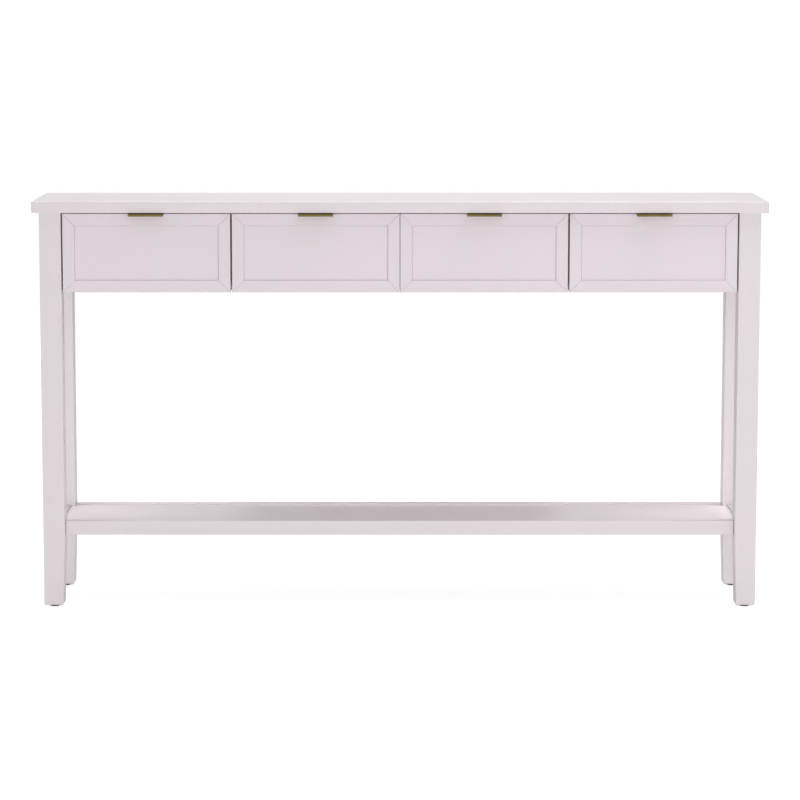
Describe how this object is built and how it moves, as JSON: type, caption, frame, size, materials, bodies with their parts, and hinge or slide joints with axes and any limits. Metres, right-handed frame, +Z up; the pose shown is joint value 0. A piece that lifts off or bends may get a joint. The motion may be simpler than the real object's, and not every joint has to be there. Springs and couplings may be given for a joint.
{
  "type": "console table",
  "caption": "Long, shallow painted console table with a row of drawers hung on side slides under the top, square legs and a framed low shelf.",
  "frame": {"origin": "on the floor, under the middle of the whole table, pulls included", "axes": "+X along the table to its right-hand end seen from the drawer side, +Y towards the back, +Z up"},
  "size_m": [1.524, 0.268, 0.857],
  "materials": {
    "painted_wood": "satin off-white paint with a faint pink-grey cast",
    "drawer_wood": "clear-sealed plywood and softwood",
    "brass": "satin, aged",
    "zinc_steel": "zinc plated",
    "glide_plastic": "matte"
  },
  "bodies": {
    "table": {"tabletop": "painted_wood", "leg_front_left": "painted_wood", "leg_front_right": "painted_wood", "leg_rear_left": "painted_wood", "leg_rear_right": "painted_wood", "foot_glide_front_left": "glide_plastic", "foot_glide_front_right": "glide_plastic", "foot_glide_rear_left": "glide_plastic", "foot_glide_rear_right": "glide_plastic", "side_apron_left": "painted_wood", "side_apron_right": "painted_wood", "back_panel": "painted_wood", "rail_above_drawers": "painted_wood", "rail_below_drawers": "painted_wood", "slide_spacer_left": "drawer_wood", "slide_spacer_right": "drawer_wood", "divider_1": "drawer_wood", "divider_2": "drawer_wood", "divider_3": "drawer_wood", "shelf_rail_front": "painted_wood", "shelf_rail_rear": "painted_wood", "shelf_rail_left": "painted_wood", "shelf_rail_right": "painted_wood", "shelf_panel": "painted_wood", "slide_track_1_left": "zinc_steel", "slide_track_1_right": "zinc_steel", "slide_track_2_left": "zinc_steel", "slide_track_2_right": "zinc_steel", "slide_track_3_left": "zinc_steel", "slide_track_3_right": "zinc_steel", "slide_track_4_left": "zinc_steel", "slide_track_4_right": "zinc_steel"},
    "drawer_1": {"drawer_1_frame": "painted_wood", "drawer_1_panel": "painted_wood", "drawer_1_box": "drawer_wood", "drawer_1_base": "drawer_wood", "drawer_1_pull": "brass", "drawer_1_slide_left": "zinc_steel", "drawer_1_slide_right": "zinc_steel"},
    "drawer_2": {"drawer_2_frame": "painted_wood", "drawer_2_panel": "painted_wood", "drawer_2_box": "drawer_wood", "drawer_2_base": "drawer_wood", "drawer_2_pull": "brass", "drawer_2_slide_left": "zinc_steel", "drawer_2_slide_right": "zinc_steel"},
    "drawer_3": {"drawer_3_frame": "painted_wood", "drawer_3_panel": "painted_wood", "drawer_3_box": "drawer_wood", "drawer_3_base": "drawer_wood", "drawer_3_pull": "brass", "drawer_3_slide_left": "zinc_steel", "drawer_3_slide_right": "zinc_steel"},
    "drawer_4": {"drawer_4_frame": "painted_wood", "drawer_4_panel": "painted_wood", "drawer_4_box": "drawer_wood", "drawer_4_base": "drawer_wood", "drawer_4_pull": "brass", "drawer_4_slide_left": "zinc_steel", "drawer_4_slide_right": "zinc_steel"}
  },
  "joints": [
    {"name": "drawer_1_slide", "type": "slide", "parent": "table", "child": "drawer_1", "axis": [0, -1, 0], "range_m": [0, 0.14]},
    {"name": "drawer_2_slide", "type": "slide", "parent": "table", "child": "drawer_2", "axis": [0, -1, 0], "range_m": [0, 0.14]},
    {"name": "drawer_3_slide", "type": "slide", "parent": "table", "child": "drawer_3", "axis": [0, -1, 0], "range_m": [0, 0.14]},
    {"name": "drawer_4_slide", "type": "slide", "parent": "table", "child": "drawer_4", "axis": [0, -1, 0], "range_m": [0, 0.14]}
  ]
}
